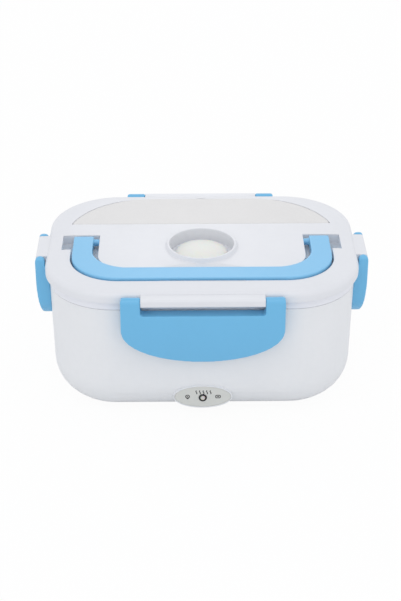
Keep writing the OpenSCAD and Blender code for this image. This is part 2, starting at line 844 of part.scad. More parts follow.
// A latch lug on the front side, centred on x = 0
module lug(hw) {
    r = 1.6;
    y = -lid_d / 2;
    translate([-hw, 0, 0]) rotate([90, 0, 90]) linear_extrude(2 * hw) {
        translate([y - lug_out, lug_low + r]) square([lug_out + 1.5, lug_top - lug_low - 2 * r]);
        translate([y - lug_out + r, lug_low]) square([lug_out + 1.5 - r, lug_top - lug_low]);
        for (z = [lug_low + r, lug_top - r])
            translate([y - lug_out + r, z]) circle(r, $fn = 48);
    }
}

module lug_bores(hw) {
    for (s = [-1, 1])
        translate([s * hw, -lid_d / 2 - pivot_out, pivot_z])
            bar_x(stud_r + snap, 2 * stud_l + 1);
}

// Turns and moves a piece drawn for the front to one of the four sides
module on_side(side) {
    if (side == "front") children();
    if (side == "back") rotate([0, 0, 180]) children();
    if (side == "left") translate([(lid_d - lid_w) / 2, side_latch_y, 0])
        rotate([0, 0, -90]) children();
    if (side == "right") translate([(lid_w - lid_d) / 2, side_latch_y, 0])
        rotate([0, 0, 90]) children();
}

module lid_shell() {
    scoop_c = (pow(scoop_w / 2, 2) + scoop_d * scoop_d) / (2 * scoop_d);
    scoop_up = (pow(scoop_w / 2, 2) - scoop_h * scoop_h) / (2 * scoop_h);
    tub_low = channel_floor - recess_wall;
    color(white) difference() {
        union() {
            around() polygon(skin_section());
            plate(-border_w, deck - lid_wall, deck);
            // rib that the lid liner is welded to
            around() polygon(band(liner_edge_off - 1.8, liner_edge_off - 0.4, liner_top,
                                  border_z - lid_wall + 0.6));
            // handle channel with its pivot bosses and the pockets beside the arms
            translate([0, 0, tub_low]) linear_extrude(deck - 1 - tub_low)
                channel(recess_wall);
            for (s = [0, 1]) mirror([s, 0, 0]) {
                translate([channel_in - boss_l, handle_y - 5, tub_low])
                    cube([boss_l, 10, deck - 1 - tub_low]);
                translate([handle_hw, channel_back - pocket_l - pocket_wall,
                           deck - pocket_h - pocket_wall])
                    cube([pocket_out + pocket_wall - handle_hw, pocket_l + 2 * pocket_wall,
                          pocket_h]);
            }
            // thicker deck under the finger scoop
            translate([-scoop_w / 2 - 4, -island_front - 0.5, deck - scoop_h - lid_wall])
                cube([scoop_w + 8, scoop_d + 5, scoop_h + lid_wall - 1]);
            // vent well and its bead
            translate([0, vent_y, well_floor - recess_wall])
                cylinder(r = vent_r + recess_wall, h = vent_h + recess_wall - 0.5);
            translate([0, vent_y, deck - 0.5]) rotate_extrude()
                polygon([[vent_r - bead_edge, 0], [bead_r, 0], [bead_r, 0.5],
                         [bead_r - bead_slope, 0.5 + bead_h],
                         [vent_r + bead_edge, 0.5 + bead_h],
                         [vent_r - bead_edge, 0.5 + bead_h - 2 * bead_edge]]);
            // spoon compartment and the ledge under its cover
            translate([0, 0, spoon_floor - recess_wall])
                linear_extrude(rebate - spoon_floor + recess_wall)
                    spoon_shape(ledge_w - recess_wall, ledge_front - recess_wall);
            translate([0, 0, liner_top + 0.3]) linear_extrude(rebate - liner_top + 0.3)
                spoon_shape(-1.2, -1.2);
            for (side = ["front", "back"]) on_side(side) lug(lug_hw);
            for (side = ["left", "right"]) on_side(side) lug(side_lug_hw);
        }
        translate([0, 0, channel_floor]) linear_extrude(lid_h + 5) channel(0);
        for (s = [0, 1]) mirror([s, 0, 0]) {
            translate([handle_hw, channel_back - pocket_l, deck - pocket_h])
                cube([pocket_out - handle_hw, pocket_l, pocket_h + 5]);
            translate([stub_end - 0.5, handle_y, axis_z]) rotate([0, 90, 0])
                cylinder(r = stub_r + snap, h = channel_in - stub_end + 1.5);
        }
        intersection() {
            translate([0, scoop_d - island_front - scoop_c, deck + scoop_up])
                sphere(r = norm([scoop_c, scoop_up]), $fn = 240);
            translate([-scoop_w, -island_front - 0.5, deck - scoop_h - cut])
                cube([2 * scoop_w, scoop_d + 1, 10]);
        }
        translate([0, vent_y, well_floor]) cylinder(r = vent_r, h = vent_h + 5);
        translate([0, vent_y, well_floor - recess_wall - cut])
            cylinder(r = stem_r + 0.3, h = recess_wall + 2 * cut);
        translate([0, 0, rebate]) linear_extrude(5) spoon_shape(-0.3, -0.3);
        translate([0, 0, spoon_floor]) linear_extrude(spoon_h)
            spoon_shape(ledge_w, ledge_front);
        // finger notch at the back of the cover
        translate([0, lid_d / 2 - spoon_back + 2.5 - notch_w / 2, rebate])
            cylinder(r = notch_w / 2, h = 5);
        // groove and bores for the cover's hinge
        translate([0, cover_y, cover_z]) {
            bar_x(cover_hinge_r + 0.2, 2 * spoon_hw + 0.4);
            bar_x(cover_stud_r + snap, 2 * (spoon_hw + cover_stud_l) + 0.4);
        }
        for (side = ["front", "back"]) on_side(side) lug_bores(lug_hw);
        for (side = ["left", "right"]) on_side(side) lug_bores(side_lug_hw);
    }
}

module lid_liner() {
    collar_r = stem_r + 2.2;
    color("#eef0f2") difference() {
        union() {
            difference() {
                bowl(liner_off, liner_bottom, liner_top, 6);
                bowl(liner_off - liner_wall, liner_floor, liner_top + cut, 6 - liner_wall);
            }
            around() polygon(band(liner_off - liner_wall / 2, liner_edge_off,
                                  gasket_top, liner_top));
            translate([0, vent_y, liner_bottom])
                cylinder(r = collar_r, h = well_floor - recess_wall - 0.2 - liner_bottom);
        }
        translate([0, vent_y, liner_bottom - cut])
            cylinder(r = stem_r + snap, h = lid_h + liner_drop);
        // notches that the pockets beside the handle's arms sink into
        for (s = [0, 1]) mirror([s, 0, 0])
            translate([handle_hw, channel_back - pocket_l - pocket_wall - pocket_play,
                       deck - pocket_h - pocket_wall - pocket_play])
                cube([pocket_out + pocket_wall + pocket_play - handle_hw,
                      pocket_l + 2 * (pocket_wall + pocket_play), pocket_h]);
    }
}

module lid_gasket() {
    base = gasket_top - gasket_h / 2;
    low = tray_top + seal_gap;
    color("#d5dade") around() {
        polygon(band(gasket_off - gasket_w, gasket_off, base, gasket_top));
        for (x = [gasket_off - gasket_w + 0.8, gasket_off - 0.8])
            polygon([[corner_r + x - 0.7, base + snap], [corner_r + x - 0.3, low],
                     [corner_r + x + 0.3, low], [corner_r + x + 0.7, base + snap]]);
    }
}

module vent_plug() {
    base = well_floor + 0.2;
    color("#e6e7dd") translate([0, vent_y, base]) {
        rotate_extrude() polygon(concat([[0, 0], [plug_r, 0], [plug_r, 0.8]],
            [for (i = [1 : 8]) let (t = i / 8)
                [plug_r * cos(90 * t), 0.8 + (plug_h - 0.8) * pow(sin(90 * t), 0.8)]]));
        translate([0, 0, liner_bottom - base])
            cylinder(r = stem_r, h = base - liner_bottom + snap);
    }
}

module spoon_cover() {
    color("#dcdad5") {
        translate([0, 0, cover_bottom]) linear_extrude(cover_t) difference() {
            spoon_shape(0, 0);
            translate([-lid_w / 2, 0]) square([lid_w, cover_y]);
        }
        translate([0, cover_y, cover_z]) {
            bar_x(cover_hinge_r, 2 * spoon_hw);
            bar_x(cover_stud_r, 2 * (spoon_hw + cover_stud_l));
        }
    }
}

// --- carry handle ------------------------------------------------------------------

module handle_shape(inset) {
    difference() {
        bay(handle_hw - inset, handle_front - inset, handle_r_out - inset, handle_y);
        bay(handle_hw - arm_w + inset, handle_front - bar_w + inset,
            handle_r_in + inset, handle_y + cut);
    }
}

module carry_handle() {
    arm_mid = handle_hw - arm_w / 2;
    rib_t = 1.6;
    bar_rib_pitch = (handle_hw - handle_r_out) / 4;
    arm_rib_pitch = handle_front / 5;
    arm_rib_y = arm_rib_pitch / 4;
    arm_solid = 8;             // the arms' ends are solid for this length
    color(blue) {
        difference() {
            union() {
                translate([0, 0, handle_bottom]) linear_extrude(handle_t) handle_shape(0);
                for (s = [-1, 1])
                    translate([s * arm_mid, handle_y, handle_bottom + handle_t / 2])
                        bar_x(handle_t / 2, arm_w);
            }
            // hollow underside, crossed by ribs
            difference() {
                translate([0, 0, handle_bottom - cut])
                    linear_extrude(handle_hollow + cut) intersection() {
                        handle_shape(handle_wall);
                        translate([-lid_w / 2, -lid_d]) square([lid_w, lid_d - arm_solid]);
                    }
                for (i = [-3 : 3])
                    translate([i * bar_rib_pitch - rib_t / 2, -lid_d / 2, 0])
                        cube([rib_t, lid_d / 2, handle_top]);
                for (i = [1, 2])
                    translate([-lid_w / 2, -arm_rib_y - i * arm_rib_pitch, 0])
                        cube([lid_w, rib_t, handle_top]);
            }
        }
        for (s = [0, 1]) mirror([s, 0, 0])
            translate([stub_end, handle_y, axis_z]) rotate([0, 90, 0])
                cylinder(r = stub_r, h = handle_hw - arm_w - stub_end + 1);
    }
}

// --- latches -----------------------------------------------------------------------

slot_top = pivot_z - slot_drop; // edge of a latch's face under the lug
slot_r = 2;                    // radius of that gap's lower corners
latch_bend = pivot_z - 14;     // below this height the face leans in
latch_in = 2.5;                // how far a latch's sides reach in past the lid's edge
ear_gap = 0.15;

// Face of a latch: full width at the ears, elliptical at the foot
module latch_face(hw, drop, end, inset) {
    low = pivot_z - drop;
    mid = low + end;
    top = pivot_z + ear_r;
    r = ear_corner - min(inset, ear_corner - 1);
    n = 40;
    polygon(concat(
        [for (i = [0 : n]) let (a = 180 + 180 * i / n)
            [(hw - inset) * cos(a), mid + (end - inset) * sin(a)]],
        arc([hw - inset - r, top - inset - r], r, 0, 90, 6),
        arc([inset + r - hw, top - inset - r], r, 90, 180, 6)));
}

// Outer face of a latch's side view, from the ear down, drawn in by inset
function latch_front(drop, inset, n = 8) =
    [for (i = [0 : n]) let (t = i / n)
        [pivot_out + ear_r - inset - latch_lean * t * t,
         latch_bend + (pivot_z - drop - 1 - latch_bend) * t]];

// Side view of a latch, x outward from the lid's edge
module latch_profile(drop) {
    polygon(concat(
        [[-latch_in, pivot_z - drop - 1], [-latch_in, latch_bend - 8],
         [-1, lid_edge - 0.6], [0.8, lid_edge - 0.6], [0.8, pivot_z]],
        arc([pivot_out, pivot_z], ear_r, 180, 0), latch_front(drop, 0)));
}

// Side view of the hollow behind a latch's face
module latch_hollow(drop) {
    top = slot_top - latch_wall;
    out = pivot_out + ear_r - latch_wall;
    polygon(concat([[-latch_in - cut, pivot_z - drop - 1], [-latch_in - cut, top], [out, top]],
                   latch_front(drop, latch_wall)));
}

// Stands a side view up, reaching from -hw to hw along the front edge of the lid
module side_view(hw) {
    translate([-hw, -lid_d / 2, 0]) rotate([90, 0, 90]) linear_extrude(2 * hw)
        mirror([1, 0]) children();
}

// One latch, drawn on the front side
module latch(hw, lug, drop, end) {
    hook_h = 2.4;
    hook_in = 0.25 - rim_inset;
    hook_top = shell_top - rim_drop - 0.2;
    y = -lid_d / 2;
    difference() {
        intersection() {
            upright(0, y - 15, y + 15) latch_face(hw, drop, end, 0);
            side_view(hw + 1) latch_profile(drop);
        }
        // gap for the lug
        upright(slot_top, y - 20, y + 10) {
            translate([-lug - ear_gap, slot_r]) square([2 * (lug + ear_gap), 30]);
            translate([slot_r - lug - ear_gap, 0]) square([2 * (lug + ear_gap - slot_r), 30]);
            for (x = [slot_r - lug - ear_gap, lug + ear_gap - slot_r])
                translate([x, slot_r]) circle(slot_r, $fn = 48);
        }
        intersection() {
            upright(0, y - 15, y + 15) latch_face(hw, drop, end, latch_wall);
            side_view(hw) latch_hollow(drop);
        }
    }
    // hook rib under the rim's skirt
    translate([4 - lug, y - pivot_out - ear_r + latch_wall - 0.5, hook_top - hook_h])
        cube([2 * (lug - 4), pivot_out + ear_r - latch_wall + 0.5 - hook_in, hook_h]);
    for (s = [0, 1]) mirror([s, 0, 0])
        translate([lug + ear_gap - stud_l, y - pivot_out, pivot_z]) rotate([0, 90, 0])
            cylinder(r = stud_r, h = stud_l + 1);
}

module front_latch() {
    color(blue) on_side("front") latch(latch_hw, lug_hw, latch_drop, latch_round);
}
module back_latch() {
    color(blue) on_side("back") latch(latch_hw, lug_hw, latch_drop, latch_round);
}
module left_latch() {
    color(blue) on_side("left")
        latch(side_latch_hw, side_lug_hw, side_latch_drop, side_latch_round);
}
module right_latch() {
    color(blue) on_side("right")
        latch(side_latch_hw, side_lug_hw, side_latch_drop, side_latch_round);
}

outer_shell();
warming_pot();
heater_plate();
heating_element();
heater_clamp();
clamp_screws();
thermal_fuse();
live_lead();
neutral_lead();
lamp_leads();
indicator_lamp();
lamp_bezel();
lamp_board();
lamp_plate();
power_inlet();
inlet_pins();
inlet_cap();
rubber_feet();
base_screws();
food_tray();
side_dish_box();
lid_shell();
lid_liner();
lid_gasket();
vent_plug();
spoon_cover();
carry_handle();
front_latch();
back_latch();
left_latch();
right_latch();
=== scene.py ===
# %% [markdown]
# # Dressing an electric lunch box in Blender
# The box arrives as plain solids in metres, each already in its place. This file gives every
# solid the soft edges and the finish that moulded plastic, silicone and steel have, adds the
# small things that solids leave out, and sets up a plain photograph of the result.
# Nothing is moved: a piece is only ever built where its solid already stands.

# %% Load the solids
import json
import math

import bmesh
import bpy
from mathutils import Matrix, Vector


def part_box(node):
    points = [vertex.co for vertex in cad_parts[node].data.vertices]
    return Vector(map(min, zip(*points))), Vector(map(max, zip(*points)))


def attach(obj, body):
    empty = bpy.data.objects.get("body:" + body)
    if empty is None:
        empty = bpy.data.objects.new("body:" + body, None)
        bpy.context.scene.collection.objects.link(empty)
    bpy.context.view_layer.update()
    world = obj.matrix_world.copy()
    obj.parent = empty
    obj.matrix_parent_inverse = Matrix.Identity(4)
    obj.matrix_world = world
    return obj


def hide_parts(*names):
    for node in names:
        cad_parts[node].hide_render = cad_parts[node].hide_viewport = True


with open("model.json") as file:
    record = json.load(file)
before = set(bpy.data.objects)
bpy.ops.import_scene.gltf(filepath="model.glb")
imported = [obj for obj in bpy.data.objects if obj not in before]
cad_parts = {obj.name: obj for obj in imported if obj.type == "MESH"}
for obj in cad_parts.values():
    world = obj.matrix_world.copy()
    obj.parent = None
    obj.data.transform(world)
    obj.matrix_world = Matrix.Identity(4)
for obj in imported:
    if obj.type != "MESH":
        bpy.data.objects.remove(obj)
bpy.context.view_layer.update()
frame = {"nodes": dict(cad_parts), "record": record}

MM = 0.001
body_of_node = {
    node: body
    for body, nodes in frame["record"]["behaviour"]["bodies"].items()
    for node in nodes
}
slot_of_node = {s["node"]: s["material_slot"] for s in frame["record"]["subparts"]}

# %% [markdown]
# ## The camera
# A camera is easiest to place by two points: where it stands and what it looks at. A long
# lens from a metre away flattens the perspective, as in a catalogue picture. The small shift
# slides the picture inside the frame without turning the camera.

# %% Camera
STAND = Vector((-0.0119, -0.9613, 0.5946))
AIM = Vector((0.0, 0.0, 0.060))
FOCAL_MM, SENSOR_MM = 89.22, 36.0
SHIFT = (-0.00165, -0.00879)
lens = bpy.data.cameras.new("catalogue_lens")
lens.lens, lens.sensor_width = FOCAL_MM, SENSOR_MM
lens.shift_x, lens.shift_y = SHIFT
camera = bpy.data.objects.new("catalogue_camera", lens)
camera.location = STAND
camera.rotation_mode = "QUATERNION"
camera.rotation_quaternion = (AIM - STAND).to_track_quat("-Z", "Y")
bpy.context.scene.collection.objects.link(camera)
bpy.context.scene.camera = camera
bpy.context.scene.view_settings.view_transform = "Standard"
print("camera", round((STAND - AIM).length, 3), "m from the box")

# %% [markdown]
# ## Node trees as plain Python
# Materials, the world and Geometry Nodes are all graphs, and a graph written as calls is hard
# to read. So one small class wraps a socket and turns `a * b + 1` into Math nodes, and one
# method, `add`, makes every other kind of node from its settings and its inputs. The rest of
# the file then reads like a recipe.


# %% Sockets that can be added and multiplied
class Wire:
    """A socket's output. A sum written with it adds the Math nodes that it needs."""

    def __init__(self, graph, socket):
        self.graph, self.socket = graph, socket

    def maths(self, operation, other=0.0, turned=False):
        pair = (other, self) if turned else (self, other)
        return self.graph.add("ShaderNodeMath", {"operation": operation}, dict(enumerate(pair)))

    def output(self, name):
        """Another output of the node that this one comes from."""
        return Wire(self.graph, self.socket.node.outputs[name])

    def __add__(self, other):
        return self.maths("ADD", other)

    def __sub__(self, other):
        return self.maths("SUBTRACT", other)

    def __rsub__(self, other):
        return self.maths("SUBTRACT", other, turned=True)

    def __mul__(self, other):
        return self.maths("MULTIPLY", other)

    def __gt__(self, other):
        return self.maths("GREATER_THAN", other)

    __radd__, __rmul__ = __add__, __mul__


class Graph:
    """A tree of nodes, for a material, the world or Geometry Nodes."""

    def __init__(self, tree):
        self.tree, self.nodes, self.links = tree, tree.nodes, tree.links

    def add(self, kind, settings=None, inputs=None, output=0):
        node = self.nodes.new(kind)
        for name, value in (settings or {}).items():
            setattr(node, name, value)
        for key, value in (inputs or {}).items():
            for one in value if isinstance(value, list) else [value]:
                self.feed(node.inputs[key], one)
        return Wire(self, node.outputs[output]) if len(node.outputs) else node

    def feed(self, socket, value):
        if isinstance(value, Wire):
            self.links.new(value.socket, socket)
        else:
            socket.default_value = value


print("graph kit ready")


# %% A material to paint on
class Paint(Graph):
    """One material. Its uniform values are set on the shader's own sockets."""

    def __init__(self, name, uniform):
        self.material = bpy.data.materials.new(name)
        self.material.use_nodes = True
        super().__init__(self.material.node_tree)
        self.shader = self.nodes["Principled BSDF"]
        for socket, value in uniform.items():
            self.shader.inputs[socket].default_value = value
        self.place = self.add("ShaderNodeTexCoord", output="Object")

    def noise(self, size_mm, detail=2.0, stretch=(1, 1, 1)):
        """A cloudy pattern from 0 to 1 whose blobs are about size_mm across."""
        scaled = self.add("ShaderNodeMapping", inputs={"Vector": self.place, "Scale": stretch})
        return self.add(
            "ShaderNodeTexNoise",
            inputs={"Vector": scaled, "Scale": 1 / (size_mm * MM), "Detail": detail},
        )

    def blend(self, factor, low, high):
        """A colour between two colours."""
        settings = {"data_type": "RGBA", "clamp_factor": True}
        return self.add("ShaderNodeMix", settings, {0: factor, 6: low, 7: high}, output=2)

    def bump(self, height, depth_mm):
        dents = {"Height": height, "Distance": depth_mm * MM}
        self.feed(self.shader.inputs["Normal"], self.add("ShaderNodeBump", inputs=dents))

    def colour(self, value):
        self.feed(self.shader.inputs["Base Color"], value)

    def roughness(self, value):
        self.feed(self.shader.inputs["Roughness"], value)


def shade(colour, factor):
    """The same colour, lighter or darker."""
    return tuple(min(1.0, c * factor) for c in colour[:3]) + (1.0,)


paints = {}
print("paint kit ready")

# %% [markdown]
# ## Moulded plastic
# Most of the box is polypropylene out of a polished mould. It isn't perfectly even: the melt
# leaves faint clouds of tone, fingers and washing leave patches that are a little duller, and
# the mould's skin leaves a very fine pebble. Three noises at three scales give that: clouds
# in the colour, patches in the roughness and a fine grain in the bump.


# %% Plastic
BROAD_CLOUD_MM, SMALL_CLOUD_MM, RUBBED_MM = 28, 4, 9
RUBBED_SPREAD = 0.14
POLYMER = {"IOR": 1.49, "Coat Roughness": 0.12}


def plastic(slot, colour, roughness, cloud=0.03, grain_mm=0.5, grain_depth=0.006, uniform=None):
    """Moulded plastic. Cloud is the share by which its tone varies, and depths are in mm."""
    paint = Paint(slot, {**POLYMER, **(uniform or {})})
    clouds = paint.noise(BROAD_CLOUD_MM, 3) * 0.6 + paint.noise(SMALL_CLOUD_MM, 2) * 0.4
    paint.colour(paint.blend(clouds, shade(colour, 1 - cloud), shade(colour, 1 + cloud)))
    rubbed = paint.noise(RUBBED_MM, 4)
    paint.roughness(rubbed * RUBBED_SPREAD + (roughness - RUBBED_SPREAD / 2))
    pebble = paint.noise(grain_mm, 2) * 0.7 + paint.noise(grain_mm * 5, 1) * 0.3
    paint.bump(pebble, grain_depth)
    paints[slot] = paint.material
    return paint


LID_WHITE = (0.760, 0.770, 0.805)
CASING_WHITE = (0.800, 0.810, 0.830)
LATCH_BLUE = (0.155, 0.480, 0.765)
HANDLE_BLUE = (0.225, 0.545, 0.830)
plastic("lid_white", LID_WHITE, 0.34)
plastic("casing_white", CASING_WHITE, 0.36)
plastic("pot_white", (0.82, 0.83, 0.88), 0.30, grain_depth=0.003)
plastic("liner_white", (0.80, 0.81, 0.83), 0.33)
plastic("handle_blue", HANDLE_BLUE, 0.33, cloud=0.025)
plastic("latch_blue", LATCH_BLUE, 0.34, cloud=0.03)
plastic("dish_plastic", (0.50, 0.70, 0.86), 0.30, grain_depth=0.003)
plastic("tray_plastic", (0.79, 0.81, 0.84), 0.36, grain_depth=0.004)
plastic("inlet_black", (0.025, 0.026, 0.030), 0.42, cloud=0.15, grain_mm=0.8, grain_depth=0.02)
plastic("bezel_black", (0.022, 0.023, 0.026), 0.22, cloud=0.12, grain_depth=0.002)
print("plastics:", sorted(paints))

# %% [markdown]
# ## Frosted cover, silicone, rubber
# The spoon compartment's cover is a thin frosted sheet: a little light passes, so what is
# under it shows as a soft grey shadow. Alpha is used for that, because it costs nothing and
# survives export. Silicone scatters light inside, which one subsurface value gives. Rubber is
# dull and dusty.

# %% Soft and frosted finishes
FROST_MM, CLEAREST, FROSTING = 0.9, 0.86, 0.06
cover = plastic("cover_smoke", (0.815, 0.805, 0.800), 0.40, cloud=0.02,
                grain_mm=0.35, grain_depth=0.012)
cover.feed(cover.shader.inputs["Alpha"], cover.noise(FROST_MM, 3) * FROSTING + CLEAREST)

plastic(
    "vent_silicone", (0.80, 0.805, 0.765), 0.46, cloud=0.02, grain_mm=0.25, grain_depth=0.008,
    uniform={"Subsurface Weight": 0.25, "Subsurface Scale": 0.004},
)
plastic(
    "gasket_silicone", (0.70, 0.73, 0.755), 0.50, cloud=0.03, grain_mm=0.25, grain_depth=0.01,
    uniform={"Subsurface Weight": 0.2, "Subsurface Scale": 0.003},
)
plastic("foot_rubber", (0.24, 0.245, 0.25), 0.72, cloud=0.12, grain_mm=0.6, grain_depth=0.03)
plastic("lamp_lens", (0.66, 0.62, 0.57), 0.18, cloud=0.04, grain_depth=0.002,
        uniform={"Subsurface Weight": 0.3, "Subsurface Scale": 0.002, "Coat Weight": 0.4})
print("frosted and soft finishes added,", len(paints), "in all")

# %% [markdown]
# ## Metals, films and leads
# Sheet metal is drawn through rollers, which leaves long fine lines. Stretching a noise along
# one axis draws them. The same lines drive the roughness and the bump, so they shift the
# highlight as real rolled lines do. The heater's film is amber with a sheen, the board is
# lacquered green, and the leads wear dull silicone sleeves.


# %% Metals
STAIN_MM, LINE_DEPTH_MM = 14, 0.006


def metal(slot, colour, roughness, lines, line_mm=1.2):
    """Rolled or drawn metal. A low number in lines draws the noise out along that axis."""
    paint = Paint(slot, {"Metallic": 1.0})
    rolled = paint.noise(line_mm, 3, lines)
    stain = paint.noise(STAIN_MM, 3)
    paint.colour(paint.blend(stain, shade(colour, 0.90), shade(colour, 1.05)))
    paint.roughness(rolled * 0.18 + stain * 0.08 + (roughness - 0.12))
    paint.bump(rolled, LINE_DEPTH_MM)
    paints[slot] = paint.material


metal("heater_aluminium", (0.72, 0.73, 0.75), 0.38, lines=(0.15, 4, 4))
metal("clamp_steel", (0.58, 0.59, 0.60), 0.30, lines=(0.15, 6, 6))
metal("screw_steel", (0.62, 0.63, 0.62), 0.32, lines=(2, 2, 6), line_mm=0.5)
metal("fuse_case", (0.66, 0.66, 0.64), 0.35, lines=(5, 0.3, 5))
metal("pin_nickel", (0.73, 0.71, 0.66), 0.20, lines=(6, 0.3, 6), line_mm=0.4)
plastic("element_film", (0.30, 0.135, 0.025), 0.28, cloud=0.25, grain_mm=1.5, grain_depth=0.03,
        uniform={"Coat Weight": 0.5})
plastic("board_green", (0.02, 0.15, 0.05), 0.40, cloud=0.2, grain_mm=0.4, grain_depth=0.01)
for lead, colour in {
    "lead_red": (0.45, 0.03, 0.02),
    "lead_blue": (0.03, 0.09, 0.42),
    "lead_grey": (0.14, 0.14, 0.15),
}.items():
    plastic(lead, colour, 0.48, cloud=0.1, grain_mm=0.7, grain_depth=0.02)
print("metals, film and leads added,", len(paints), "in all")

# %% [markdown]
# ## The lamp plate
# The oval plate round the lamp is a silvery lacquer over plastic. Its flakes are fine and
# glitter a little, so a fine noise picks which spots are more metallic than the rest.

# %% Lamp plate
FLAKE_MM, FLAKE_FROM, FLAKE_METAL = 0.22, 0.56, 0.35
plate = plastic("plate_grey", (0.655, 0.66, 0.63), 0.40, grain_mm=0.3)
flakes = plate.noise(FLAKE_MM, 2) > FLAKE_FROM
plate.feed(plate.shader.inputs["Metallic"], flakes * FLAKE_METAL)
print(len(paints), "finishes")

# %% [markdown]
# ## Clean copies of the solids
# The solids come as loose triangles that share no corners, so no modifier can tell an edge
# from a seam. A copy of each is welded, and its flat areas are joined into single faces. The
# solid itself stays untouched and hidden, and the copy stands for it and rides on its body.
# On the lid, a few planes also cut the long faces into plain rectangles, so that a bevel has
# no deep notches to cross.

# %% Placing, smoothing and settling
WELD = 0.004 * MM
ON_PLANE = 1e-7
FLAT = math.radians(0.6)
EDGE = math.radians(30)


def placed(name, mesh):
    """An object at the origin that shows a mesh."""
    piece = bpy.data.objects.new(name, mesh)
    bpy.context.scene.collection.objects.link(piece)
    return piece


def smooth(mesh, edge=EDGE):
    """Smooth shading, kept sharp where faces meet at more than the edge angle."""
    mesh.polygons.foreach_set("use_smooth", [True] * len(mesh.polygons))
    mesh.set_sharp_from_angle(angle=edge)
    return mesh


def settled(piece):
    """Turns what the modifiers make of a piece into its plain mesh."""
    seen_by = bpy.context.evaluated_depsgraph_get()
    mesh = bpy.data.meshes.new_from_object(piece.evaluated_get(seen_by))
    piece.modifiers.clear()
    piece.data = mesh
    return piece


print("an edge is sharp from", round(math.degrees(EDGE)), "degrees")


# %% Welding a solid and standing for it
def welded(node, cuts=()):
    """A clean mesh of one solid: doubles merged, flat areas joined, then cut by some planes."""
    mesh = frame["nodes"][node].data.copy()
    work = bmesh.new()
    work.from_mesh(mesh)
    bmesh.ops.remove_doubles(work, verts=work.verts, dist=WELD)
    bmesh.ops.dissolve_limit(work, angle_limit=FLAT, verts=work.verts, edges=work.edges)
    for axis, place_mm in cuts:
        across = Vector([axis == name for name in "xyz"])
        bmesh.ops.bisect_plane(
            work, geom=work.verts[:] + work.edges[:] + work.faces[:],
            dist=ON_PLANE, plane_co=across * place_mm * MM, plane_no=across,
        )
    work.to_mesh(mesh)
    work.free()
    return smooth(mesh)


def finish(piece, body, slot, *nodes):
    """Gives a piece its finish, its body and the solids it stands for."""
    piece.data.materials.clear()
    piece.data.materials.append(paints[slot])
    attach(piece, body)
    if nodes:
        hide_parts(*nodes)
    return piece


def stand_for(piece, node):
    """A piece takes the place of one solid, with its body and its finish."""
    return finish(piece, body_of_node[node], slot_of_node[node], node)


print("corners closer than", round(WELD / MM, 3), "mm are welded")

# %% [markdown]
# ## Turned shapes
# Feet, screws and the ring round the steam vent are all turned: a profile of radius and
# height, spun round an axis. A Boolean then joins a turned shape to a piece, or cuts one from
# it. The exact solver is slower than the fast one, and keeps clean corners.


# %% Turning, cutting and joining
def turned(name, profile_mm, sides=40):
    """An object made by spinning (radius, height) points round the upright axis."""
    work = bmesh.new()
    rows = []
    for radius, height in profile_mm:
        spots = range(sides if radius else 1)
        ring = [
            work.verts.new((
                radius * MM * math.cos(math.tau * i / sides),
                radius * MM * math.sin(math.tau * i / sides),
                height * MM,
            ))
            for i in spots
        ]
        rows.append(ring * (1 if radius else sides))
    for low, high in zip(rows, rows[1:]):
        for i in range(sides):
            j = (i + 1) % sides
            around_face = list(dict.fromkeys((low[i], low[j], high[j], high[i])))
            if len(around_face) > 2:
                work.faces.new(around_face)
    bmesh.ops.recalc_face_normals(work, faces=work.faces)
    mesh = bpy.data.meshes.new(name)
    work.to_mesh(mesh)
    work.free()
    return placed(name, mesh)


def cut(piece, cutter, operation="DIFFERENCE"):
    """Takes one solid out of another, or joins the two."""
    knife = piece.modifiers.new("cut", "BOOLEAN")
    knife.operation, knife.object, knife.solver = operation, cutter, "EXACT"
    settled(piece)
    bpy.data.objects.remove(cutter)
    return piece


print("turning kit ready")

# %% [markdown]
# ## Soft edges on moulded parts
# A mould can't make a knife edge, and a real edge catches a line of light. A Bevel modifier
# rounds the edges that turn by more than 30 degrees. Which ones it takes is written on the
# edges as a weight, because the lid is an exception: beside its skirt and its cover are steps
# narrower than the rounding, where a bevel would fold over itself. So the lid is rounded
# only on its deck's openings and its lugs. Weighted normals then keep the big faces flat.

# %% Bevels by weight
# places on the lid in mm: vent, cover's front edge, deck, lugs, skirt and finger scoop
VENT_Y, VENT_REACH, COVER_Y, DECK, LUG_LOW = -11, 28, 24, 106.5, 98.5
LID_HALF_X, LID_HALF_Y = 111.3, 78.3
SCOOP_X, SCOOP_Y = 33, 36
NEAR = 0.2


def soft_on_lid(spot):
    """True on the deck's openings and on the lugs outside the skirt, where fingers reach."""
    x, y, z = (abs(v) / MM for v in spot)
    on_vent = math.hypot(x, spot.y / MM - VENT_Y) < VENT_REACH
    on_scoop = x < SCOOP_X and y > SCOOP_Y
    on_deck = z > DECK - NEAR and spot.y / MM < COVER_Y and not on_vent and not on_scoop
    on_lug = z > LUG_LOW and (x > LID_HALF_X or y > LID_HALF_Y)
    return on_deck or on_lug


def bevelled(piece, edge_mm, steps=2, where=None):
    """Rounds a piece's sharp edges, or those of them where the test says so."""
    work = bmesh.new()
    work.from_mesh(piece.data)
    weight = work.edges.layers.float.new("bevel_weight_edge")
    for edge in work.edges:
        if edge.is_manifold and edge.calc_face_angle() > EDGE:
            middle = (edge.verts[0].co + edge.verts[1].co) / 2
            edge[weight] = 1.0 if where is None or where(middle) else 0.0
    work.to_mesh(piece.data)
    work.free()
    bevel = piece.modifiers.new("soft_edges", "BEVEL")
    bevel.width = edge_mm * MM
    bevel.segments = steps
    bevel.limit_method = "WEIGHT"
    bevel.use_clamp_overlap = False
    flat = piece.modifiers.new("flat_faces_stay_flat", "WEIGHTED_NORMAL")
    flat.keep_sharp = True
    return settled(piece)


print("bevels are set by weight")

